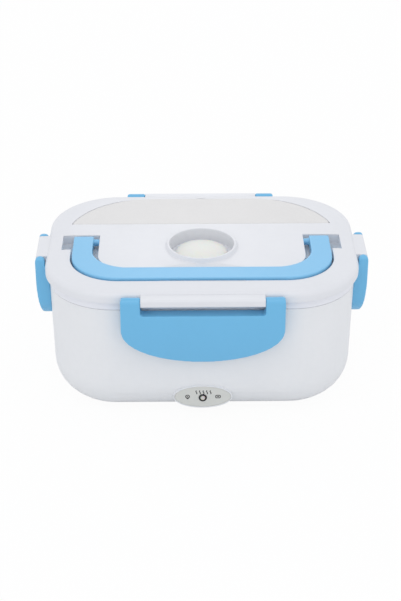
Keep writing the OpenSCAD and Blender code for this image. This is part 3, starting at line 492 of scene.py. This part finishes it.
# %% [markdown]
# ## The moulded pieces
# Each piece has its own width of rounding: half a millimetre on the lid, almost nothing on
# thin metal. The vent's well stands in a raised ring. The finger scoop comes close enough to
# nick it, so room is cleared for the ring and a whole one is turned and joined on.

# %% Rounded copies
# planes in mm just past the ends of the lid's straight sides
LID_CUTS = [("x", -61.02), ("x", -30), ("x", 30), ("x", 61.02), ("y", -28.02), ("y", 28.02)]
VENT_SIDES = 160
COPIES = {
    "outer_shell": ("casing", 0.35), "warming_pot": ("pot_with_rim", 0.3),
    "lid_shell": ("lid", 0.5), "lid_liner": ("lid_lining", 0.3),
    "spoon_cover": ("spoon_cover_sheet", 0.25), "vent_plug": ("vent_dome", 0.25),
    "side_dish_box": ("side_dish", 0.3), "lamp_plate": ("lamp_plate_oval", 0.15),
    "lamp_bezel": ("lamp_ring", 0.15), "indicator_lamp": ("lamp_lens_dome", 0),
    "lamp_board": ("lamp_circuit_board", 0.1), "power_inlet": ("inlet_socket", 0.25),
    "inlet_pins": ("inlet_contacts", 0), "inlet_cap": ("inlet_flap", 0.25),
    "heater_plate": ("heater_sheet", 0.2), "heating_element": ("heater_block", 0.4),
    "heater_clamp": ("heater_strap", 0.1), "thermal_fuse": ("fuse", 0.1),
}
# (radius, height) in mm: the space cleared for the vent's ring, and the ring with its well.
# The first point comes again as the last and closes the section.
BEAD_ROOM = [(22.0, 106.55), (28.0, 106.55), (28.0, 112), (22.0, 112), (22.0, 106.55)]
BEAD = [
    (23.16, 99.6), (23.16, 108.5), (23.22, 108.8), (23.4, 109.02), (23.7, 109.1),
    (24.3, 109.1), (24.6, 109.02), (24.85, 108.8), (25.9, 107.0), (26.1, 106.75),
    (26.45, 106.45), (26.45, 106.2), (24.0, 105.6), (24.0, 99.6), (23.16, 99.6),
]


def vent_ring(name, profile_mm):
    """A ring turned round the vent's axis."""
    ring = turned(name, profile_mm, sides=VENT_SIDES)
    ring.data.transform(Matrix.Translation((0, VENT_Y * MM, 0)))
    return ring


for node, (name, edge) in COPIES.items():
    if node == "lid_shell":
        piece = placed(name, welded(node, LID_CUTS))
        cut(piece, vent_ring("bead_room", BEAD_ROOM))
        cut(piece, vent_ring("bead", BEAD), "UNION")
        smooth(piece.data)
        bevelled(piece, edge, steps=3, where=soft_on_lid)
    else:
        piece = placed(name, welded(node))
        if edge:
            bevelled(piece, edge)
    stand_for(piece, node)
print(len(COPIES), "rounded copies")

# %% [markdown]
# ## The flaps and the handle
# The blue parts are the softest ones to the touch: every edge is round, also where several
# meet. A bevel is poor at that, so these are rebuilt from a fine, even grid of voxels and
# then relaxed a few times. Each pass of relaxing pulls a point towards its neighbours, so
# flat faces stay and edges melt.

# %% Voxel grid and relaxing
VOXEL = 0.5 * MM
RELAX_PASSES, RELAX_PULL = 9, 0.5
ROUND_EDGE = math.radians(60)
for node, name in {
    "front_latch": "front_flap", "back_latch": "back_flap", "left_latch": "left_flap",
    "right_latch": "right_flap", "carry_handle": "folding_handle",
}.items():
    piece = placed(name, welded(node))
    grid = piece.modifiers.new("even_grid", "REMESH")
    grid.mode = "VOXEL"
    grid.voxel_size = VOXEL
    relax = piece.modifiers.new("relax", "SMOOTH")
    relax.factor = RELAX_PULL
    relax.iterations = RELAX_PASSES
    settled(piece)
    smooth(piece.data, ROUND_EDGE)
    stand_for(piece, node)
    print(name, len(piece.data.polygons), "faces")

# %% [markdown]
# ## Geometry Nodes as recipes
# Some pieces repeat, follow a path or obey a rule, and a recipe in Geometry Nodes says that
# rule once. A recipe has named inputs for its sizes. It always ends the same way: instances
# become real, the finish is set, and the result is turned into a plain mesh.


# %% Making and cooking a recipe
class Recipe(Graph):
    """An empty Geometry Nodes tree with named inputs."""

    def __init__(self, name, **kinds):
        super().__init__(bpy.data.node_groups.new(name, "GeometryNodeTree"))
        sockets = {"Start": "Geometry", "Finish": "Material", **kinds}
        for label, kind in sockets.items():
            self.tree.interface.new_socket(
                label, in_out="INPUT", socket_type="NodeSocket" + kind
            )
        self.tree.interface.new_socket(
            "Result", in_out="OUTPUT", socket_type="NodeSocketGeometry"
        )
        self.given = self.add("NodeGroupInput", output="Start")

    def input(self, label):
        return self.given.output(label)

    def shape_of(self, label):
        """The mesh of the object that an input names."""
        return self.add(
            "GeometryNodeObjectInfo", inputs={"Object": self.input(label)}, output="Geometry"
        )

    def serve(self, *parts):
        """Joins the parts, makes instances real and sets the finish."""
        joined = self.add("GeometryNodeJoinGeometry", inputs={0: list(parts)})
        real = self.add("GeometryNodeRealizeInstances", inputs={0: joined})
        dressed = self.add(
            "GeometryNodeSetMaterial", inputs={0: real, "Material": self.input("Finish")}
        )
        self.add("NodeGroupOutput", inputs={0: dressed})


def dots(points_mm):
    """Loose points for a recipe to put things on."""
    mesh = bpy.data.meshes.new("dots")
    mesh.from_pydata([Vector(p) * MM for p in points_mm], [], [])
    return mesh


def lines(*rows_mm, closed=False):
    """Rows of points, each joined into a line for a recipe to follow."""
    points, edges = [], []
    for row in rows_mm:
        first, last = len(points), len(points) + len(row) - 1
        points += [Vector(p) * MM for p in row]
        edges += [(i, i + 1) for i in range(first, last)] + ([(last, first)] if closed else [])
    mesh = bpy.data.meshes.new("lines")
    mesh.from_pydata(points, edges, [])
    return mesh


def cook(recipe, name, start, slot, **values):
    """Runs a recipe on a starting mesh and keeps the plain result."""
    piece = placed(name, start)
    step = piece.modifiers.new("recipe", "NODES")
    step.node_group = recipe.tree
    values["Finish"] = paints[slot]
    for socket in recipe.tree.interface.items_tree:
        if socket.in_out == "INPUT" and socket.name in values:
            step[socket.identifier] = values[socket.name]
    settled(piece)
    smooth(piece.data)
    for value in values.values():
        if isinstance(value, bpy.types.Object):
            bpy.data.objects.remove(value)
    print(name, len(piece.data.polygons), "faces")
    return piece


print("recipe kit ready")

# %% [markdown]
# ## Screws and feet
# Screws and feet repeat, so one of each is turned from its profile and a recipe puts it on
# every point. No two screws are driven to the same angle, so the recipe also turns each by a
# random angle from a fixed seed. The cross in a screw's head is cut out of it before that.


# %% One screw, and a recipe that spreads things
TAPER, SEED = 0.6, 7


def cross_cutter(reach_mm, width_mm, low_mm, high_mm):
    """A tapered plus sign, wide at the bottom, to cut a screw's recess with."""
    r, w = reach_mm * MM, width_mm * MM / 2
    plus = [(r, -w), (r, w), (w, w), (w, r), (-w, r), (-w, w),
            (-r, w), (-r, -w), (-w, -w), (-w, -r), (w, -r), (w, -w)]
    count = len(plus)
    points = [(x * k, y * k, z * MM)
              for z, k in ((low_mm, 1.0), (high_mm, TAPER)) for x, y in plus]
    faces = [tuple(range(count))[::-1], tuple(range(count, 2 * count))]
    faces += [(i, (i + 1) % count, (i + 1) % count + count, i + count) for i in range(count)]
    mesh = bpy.data.meshes.new("cross")
    mesh.from_pydata(points, [], faces)
    return placed("cross", mesh)


def screw(name, head_mm, head_high_mm, shank_mm, long_mm, pitch_mm=1.1):
    """A pan-headed screw, head down, with rings for its thread and a cross in its head."""
    ridges = int((long_mm - 2) / pitch_mm)
    thread = [
        (shank_mm * (0.80 if half else 1.0), 0.8 + pitch_mm * (i + half / 2))
        for i in range(ridges) for half in (1, 0)
    ]
    blank = turned(name, [
        (0, -head_high_mm), (head_mm * 0.55, -head_high_mm),
        (head_mm * 0.85, -head_high_mm * 0.86), (head_mm * 0.97, -head_high_mm * 0.5),
        (head_mm, -head_high_mm * 0.2), (head_mm, 0), (shank_mm * 0.8, 0),
        *thread, (shank_mm * 0.5, long_mm - 0.4), (0, long_mm),
    ])
    cross = cross_cutter(
        head_mm * 0.58, head_mm * 0.28, -head_high_mm - 0.3, -head_high_mm + 1.2
    )
    return cut(blank, cross)


spread = Recipe("spread", Piece="Object", Turn="Float")
turn = spread.add(
    "FunctionNodeRandomValue",
    inputs={2: 0.0, 3: spread.input("Turn"), "Seed": SEED}, output=1,
)
spread.serve(spread.add("GeometryNodeInstanceOnPoints", inputs={
    "Points": spread.input("Start"), "Instance": spread.shape_of("Piece"),
    "Rotation": spread.add("ShaderNodeCombineXYZ", inputs={"Z": turn}),
}))
print("spreading recipe ready")


# %% Screws and feet in place
def corners(node, edge_mm):
    """The middles of four round things whose outer edges fill a solid's box, in mm."""
    low, high = (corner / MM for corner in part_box(node))
    return [(x, y) for x in (low.x + edge_mm, high.x - edge_mm)
            for y in (low.y + edge_mm, high.y - edge_mm)]


CASE_HEAD, STRAP_HEAD, FOOT = 3.0, 2.7, 8.0
CASE_SEAT, STRAP_SEAT = 4.5, 21.2
stand_for(cook(
    spread, "case_screws", dots((*p, CASE_SEAT) for p in corners("base_screws", CASE_HEAD)),
    "screw_steel", Turn=math.pi / 2,
    Piece=screw("case_screw", CASE_HEAD, head_high_mm=2.2, shank_mm=1.5, long_mm=12.0),
), "base_screws")
strap_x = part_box("clamp_screws")[1].x / MM - STRAP_HEAD
stand_for(cook(
    spread, "strap_screws", dots([(-strap_x, 0, STRAP_SEAT), (strap_x, 0, STRAP_SEAT)]),
    "screw_steel", Turn=math.pi / 2,
    Piece=screw("strap_screw", STRAP_HEAD, head_high_mm=1.6, shank_mm=1.5, long_mm=2.9),
), "clamp_screws")
foot = turned("foot", [
    (0, 0.6), (2.0, 0.6), (2.4, 0.1), (2.7, 0), (6.6, 0), (7.3, 0.15), (7.8, 0.55),
    (FOOT, 1.1), (FOOT, 2.3), (0, 2.3),
], sides=64)
stand_for(cook(
    spread, "feet", dots((*p, 0) for p in corners("rubber_feet", FOOT)),
    "foot_rubber", Piece=foot, Turn=0.0,
), "rubber_feet")

# %% [markdown]
# ## Things swept along a path
# The food tray and the sealing ring have one section all the way round the box's outline: a
# rectangle with 50 mm corners, drawn in by an offset. A recipe sweeps the section along the
# outline. The tray also gets its floor, two filled outlines that close the inner end of the
# section.

# %% The box's outline
CORNER_X, CORNER_Y, CORNER_R = 61.0, 28.0, 50.0


def outline(offset_mm, steps=20):
    """Points round the box at an offset from the lid's edge, in steps for each corner."""
    radius = CORNER_R + offset_mm
    quarters = ((1, 1), (-1, 1), (-1, -1), (1, -1))
    return [
        (CORNER_X * sx + radius * math.cos(math.radians(90 * q + 90 * i / steps)),
         CORNER_Y * sy + radius * math.sin(math.radians(90 * q + 90 * i / steps)), 0)
        for q, (sx, sy) in enumerate(quarters) for i in range(steps + 1)
    ]


def bend(centre, radius, start, end, steps=10):
    """Points on an arc of a section, angles in degrees."""
    return [
        (centre[0] + radius * math.cos(math.radians(start + (end - start) * i / steps)),
         centre[1] + radius * math.sin(math.radians(start + (end - start) * i / steps)), 0)
        for i in range(steps + 1)
    ]


def curve_of(recipe, mesh):
    """The curve along a mesh's edges."""
    return recipe.add("GeometryNodeMeshToCurve", inputs={0: mesh})


def up(recipe, height):
    """A vector that points up."""
    return recipe.add("ShaderNodeCombineXYZ", inputs={"Z": height})


print("outline runs through", len(outline(0)), "points")

# %% The recipe that sweeps a section round
around = Recipe("around", Section="Object", Floor="Object", Low="Float", High="Float")
rim_path = around.add(
    "GeometryNodeSetCurveNormal", {"mode": "Z_UP"},
    {0: curve_of(around, around.input("Start"))},
)
wall = around.add("GeometryNodeCurveToMesh", inputs={
    "Curve": rim_path, "Profile Curve": curve_of(around, around.shape_of("Section")),
})
sheet = around.add("GeometryNodeFillCurve", {"mode": "NGONS"},
                   {0: curve_of(around, around.shape_of("Floor"))})
inside, outside = (
    around.add("GeometryNodeTransform", inputs={
        0: sheet, "Translation": up(around, around.input(level))})
    for level in ("High", "Low")
)
outside = around.add("GeometryNodeFlipFaces", inputs={0: outside})
whole = around.add("GeometryNodeJoinGeometry", inputs={0: [wall, inside, outside]})
SEAM = 0.01 * MM
around.serve(around.add("GeometryNodeMergeByDistance", inputs={0: whole, "Distance": SEAM}))


def section(*points_mm, closed=True):
    """A section to sweep, x outward and y up, which the sweep lays with y downward."""
    return placed("section", lines([(x, -y, 0) for x, y, *_ in points_mm], closed=closed))


print("sweeping recipe ready")

# %% Tray
# x is the offset from the lid's edge and y the height over the table, in mm
tray_x, tray_r, tray_wall, tray_low, tray_top, tray_lip = -9.4, 17.6, 1.2, 28.3, 99.0, -5.0
low_arc = (tray_x - tray_r, tray_low + tray_r)
stand_for(cook(
    around, "tray", lines(outline(0), closed=True), "tray_plastic",
    Section=section(
        *bend(low_arc, tray_r, -90, 0), (-8.47, 97.6), (-8.40, 97.8), (tray_lip - 0.3, 97.8),
        *bend((tray_lip - 0.6, 98.4), 0.6, -60, 60, 6), (tray_lip - 0.3, tray_top),
        (-8.9, tray_top), (-9.35, 98.8), (-9.65, 98.3),
        *bend(low_arc, tray_r - tray_wall, 0, -90), closed=False,
    ),
    Floor=placed("floor", lines(outline(tray_x - tray_r), closed=True)),
    Low=tray_low * MM, High=(tray_low + tray_wall) * MM,
), "food_tray")

# %% Sealing ring
ring_low, ring_top, ring_in, ring_out = 99.2, 100.4, -9.6, -5.6


def lip_at(x):
    """One soft lip of the ring, pointing down at the tray."""
    return [(x + dx, ring_low + dz) for dx, dz in
            ((-0.7, 0.62), (-0.3, 0.06), (-0.12, 0), (0.12, 0), (0.3, 0.06), (0.7, 0.62))]


stand_for(cook(
    around, "sealing_ring", lines(outline(0), closed=True), "gasket_silicone",
    Section=section(
        (ring_in, 100.3), (ring_in, 99.9), *lip_at(ring_in + 0.8), *lip_at(ring_out - 0.8),
        (ring_out, 99.9), (ring_out, 100.3),
        (ring_out - 0.1, ring_top), (ring_in + 0.1, ring_top),
    ),
), "lid_gasket")

# %% [markdown]
# ## Leads
# A lead is a sleeve along a smooth route. A few way-points hold the route clear of its
# neighbours, a curve with automatic handles runs through them, and even steps along it keep
# the sleeve's section round in the bends.

# %% The recipe for a sleeve
sleeve = Recipe("sleeve", Radius="Float", Sides="Int", Step="Float")
route = sleeve.add("GeometryNodeCurveSplineType", {"spline_type": "BEZIER"},
                   {0: curve_of(sleeve, sleeve.input("Start"))})
route = sleeve.add("GeometryNodeCurveSetHandles", {"handle_type": "AUTO"}, {0: route})
even = sleeve.add("GeometryNodeResampleCurve", {"mode": "LENGTH"},
                  {0: route, "Length": sleeve.input("Step")})
round_section = sleeve.add("GeometryNodeCurvePrimitiveCircle", inputs={
    "Resolution": sleeve.input("Sides"), "Radius": sleeve.input("Radius")})
sleeve.serve(sleeve.add("GeometryNodeCurveToMesh", inputs={
    "Curve": even, "Profile Curve": round_section, "Fill Caps": True}))
print("sleeve recipe ready")

# %% Routes
# way-points in mm, from the inlet at the back to the fuse, the heater and the lamp
LIVE_TO_FUSE = [(-4.3, 57.7, 20), (-4.3, 53.7, 20), (-15.4, 40.8, 14.1), (-24.9, 26.2, 14.1),
                (-36, 13.3, 20.2), (-36, 9.3, 20.2)]
FUSE_TO_HEATER = [(-36, -9.3, 20.2), (-36, -13.3, 20.2), (-33, -21, 11.2), (-23, -6, 10.2),
                  (-18, 12, 10.2), (-8, 16.8, 19.45), (-8, 12.8, 19.45)]
NEUTRAL = [(4.3, 57.7, 20), (4.3, 53.7, 20), (5.6, 42, 13.8), (6.7, 28.5, 13.6),
           (8, 16.8, 19.45), (8, 12.8, 19.45)]
TO_LAMP = [(4.3, 60.7, 16), (4.3, 56.7, 16), (20.9, 39.3, 9.4), (32, 25, 5.1), (32, 0, 5.1),
           (32, -25, 5.1), (20.9, -40.2, 9.7), (4.3, -59, 16.5), (4.3, -63, 16.5)]
MAINS_LEAD_MM, LAMP_LEAD_MM = 1.2, 0.84
LEAD_SIDES, LEAD_STEP = 16, 0.8 * MM
for name, node, radius_mm, rows in (
    ("live_wire", "live_lead", MAINS_LEAD_MM, [LIVE_TO_FUSE, FUSE_TO_HEATER]),
    ("neutral_wire", "neutral_lead", MAINS_LEAD_MM, [NEUTRAL]),
    ("lamp_wires", "lamp_leads", LAMP_LEAD_MM,
     [TO_LAMP, [(-x, y, z) for x, y, z in TO_LAMP]]),
):
    stand_for(cook(
        sleeve, name, lines(*rows), slot_of_node[node],
        Radius=radius_mm * MM, Sides=LEAD_SIDES, Step=LEAD_STEP,
    ), node)

# %% [markdown]
# ## Marks on the lamp plate
# The plate carries plain marks in dark ink: waves of warmth over the lamp and a small sign on
# either side. All are strokes of one width, pressed flat. The waves follow a rule, a sine
# along an upright line, so the recipe makes them itself, while the two signs are given to it
# as lines.

# %% The recipe for printed strokes
WAVE_POINTS, NIB_SIDES, PRESSED = 20, 10, 0.25
ink = Recipe("ink", Line="Float", Waves="Int", Pitch="Float", Rise="Float", Swing="Float",
             Middle="Vector", Place="Vector")
rise = ink.input("Rise")
upright = ink.add("GeometryNodeCurvePrimitiveLine", inputs={
    "Start": up(ink, rise * -0.5), "End": up(ink, rise * 0.5)})
upright = ink.add("GeometryNodeResampleCurve", inputs={0: upright, "Count": WAVE_POINTS})
along = ink.add("GeometryNodeSplineParameter", output="Factor")
swing = (along * math.tau).maths("SINE") * ink.input("Swing")
wave = ink.add("GeometryNodeSetPosition", inputs={
    0: upright, "Offset": ink.add("ShaderNodeCombineXYZ", inputs={"X": swing})})
pitch, waves = ink.input("Pitch"), ink.input("Waves")
row = ink.add("GeometryNodeMeshLine", inputs={
    "Count": waves,
    "Start Location": ink.add("ShaderNodeCombineXYZ", inputs={"X": pitch * (waves - 1) * -0.5}),
    "Offset": ink.add("ShaderNodeCombineXYZ", inputs={"X": pitch})})
warmth = ink.add("GeometryNodeInstanceOnPoints", inputs={"Points": row, "Instance": wave})
warmth = ink.add("GeometryNodeTransform", inputs={
    0: ink.add("GeometryNodeRealizeInstances", inputs={0: warmth}),
    "Translation": ink.input("Middle")})
strokes = ink.add("GeometryNodeJoinGeometry", inputs={
    0: [warmth, curve_of(ink, ink.input("Start"))]})
nib = ink.add("GeometryNodeCurvePrimitiveCircle", inputs={
    "Resolution": NIB_SIDES, "Radius": ink.input("Line") * 0.5})
drawn = ink.add("GeometryNodeCurveToMesh", inputs={
    "Curve": strokes, "Profile Curve": nib, "Fill Caps": True})
ink.serve(ink.add("GeometryNodeTransform", inputs={
    0: drawn, "Scale": (1.0, PRESSED, 1.0), "Translation": ink.input("Place")}))
print("ink recipe ready")


# %% Printed marks
def loop(x, z, half_w, half_h, power, steps=28):
    """A closed stroke between a circle (power 1) and a box with round corners (power 0.4)."""
    points = []
    for i in range(steps + 1):
        c, s = math.cos(math.tau * i / steps), math.sin(math.tau * i / steps)
        points.append((
            x + half_w * math.copysign(abs(c) ** power, c), 0,
            z + half_h * math.copysign(abs(s) ** power, s),
        ))
    return points


PLATE_FACE, LAMP_HEIGHT = -74.7, 18.5
signs = [
    loop(-10.8, 1.0, 1.35, 1.2, 1.0), [(-11.5, 0, -0.75), (-10.1, 0, -0.75)],
    [(-11.3, 0, 1.0), (-10.3, 0, 1.0)],
    loop(10.8, 0.85, 1.6, 1.1, 0.45), [(10.0, 0, 0.85), (11.6, 0, 0.85)],
]
marks = cook(
    ink, "printed_marks", lines(*signs), "bezel_black",
    Line=0.66 * MM, Waves=5, Pitch=2.5 * MM, Rise=3.0 * MM, Swing=0.36 * MM,
    Middle=Vector((0.5, 0, 4.5)) * MM, Place=Vector((0, PLATE_FACE, LAMP_HEIGHT)) * MM,
)
finish(marks, "base", "bezel_black")

# %% [markdown]
# ## Light and floor
# Pale plastic needs even light, or its edges burn out. The world gives most of it, a wide
# lamp above the front gives the lid its slight lead over the walls, and the floor sends some
# back up. A small, weak lamp behind lays a broad highlight on the grip. The camera itself
# sees the world and the floor as white, through Light Path, so the background is white
# without any more light on the box. A little of the floor's own shading is kept, so that the
# box has a shadow to stand on.

# %% World
FILL = 0.93
world = bpy.data.worlds.new("studio")
bpy.context.scene.world = world
world.use_nodes = True
sky = Graph(world.node_tree)
sky.nodes.clear()
ray = sky.add("ShaderNodeLightPath", output="Is Camera Ray")
seen = ray.maths("MAXIMUM", ray.output("Is Glossy Ray"))
seen = seen.maths("MAXIMUM", ray.output("Is Transmission Ray"))
fill = sky.add("ShaderNodeBackground", inputs={"Color": (0.97, 0.98, 1, 1), "Strength": FILL})
white = sky.add("ShaderNodeBackground", inputs={"Color": (1, 1, 1, 1), "Strength": 1.0})
chosen = sky.add("ShaderNodeMixShader", inputs={0: seen, 1: fill, 2: white})
sky.add("ShaderNodeOutputWorld", inputs={"Surface": chosen})
print("world fill", FILL)


# %% Lamps
def softbox(name, place, aim, size, watts):
    """A round area lamp. Its place, aim and size are in metres."""
    light = bpy.data.lights.new(name, "AREA")
    light.shape, light.size, light.energy = "DISK", size, watts
    lamp = bpy.data.objects.new(name, light)
    lamp.location = place
    lamp.rotation_mode = "QUATERNION"
    lamp.rotation_quaternion = (Vector(aim) - Vector(place)).to_track_quat("-Z", "Y")
    bpy.context.scene.collection.objects.link(lamp)


softbox("overhead", place=(-0.1, -0.9, 1.5), aim=(0, 0, 0.05), size=1.3, watts=3.2)
softbox("behind", place=(0.0, 1.1, 0.62), aim=(0, 0, 0.1), size=0.28, watts=0.28)
print("two lamps")

# %% Floor
FLOOR_HALF, FLOOR_GLOW = 4.0, 0.95
ground = bpy.data.meshes.new("floor")
ground.from_pydata(
    [(x * FLOOR_HALF, y * FLOOR_HALF, 0) for x, y in ((-1, -1), (1, -1), (1, 1), (-1, 1))],
    [], [(0, 1, 2, 3)],
)
floor = bpy.data.objects.new("floor", ground)
bpy.context.scene.collection.objects.link(floor)
floor_paint = Paint("floor_white", {"Base Color": (0.90, 0.90, 0.90, 1.0), "Roughness": 0.9,
                                    "Specular IOR Level": 0.0})
matt = Wire(floor_paint, floor_paint.shader.outputs[0])
rays = floor_paint.add("ShaderNodeLightPath", output="Is Camera Ray")
glow = floor_paint.add("ShaderNodeEmission", inputs={"Color": (1, 1, 1, 1), "Strength": 1.0})
both = floor_paint.add("ShaderNodeMixShader", inputs={0: rays * FLOOR_GLOW, 1: matt, 2: glow})
floor_paint.feed(floor_paint.nodes["Material Output"].inputs["Surface"], both)
ground.materials.append(floor_paint.material)
print("studio ready")
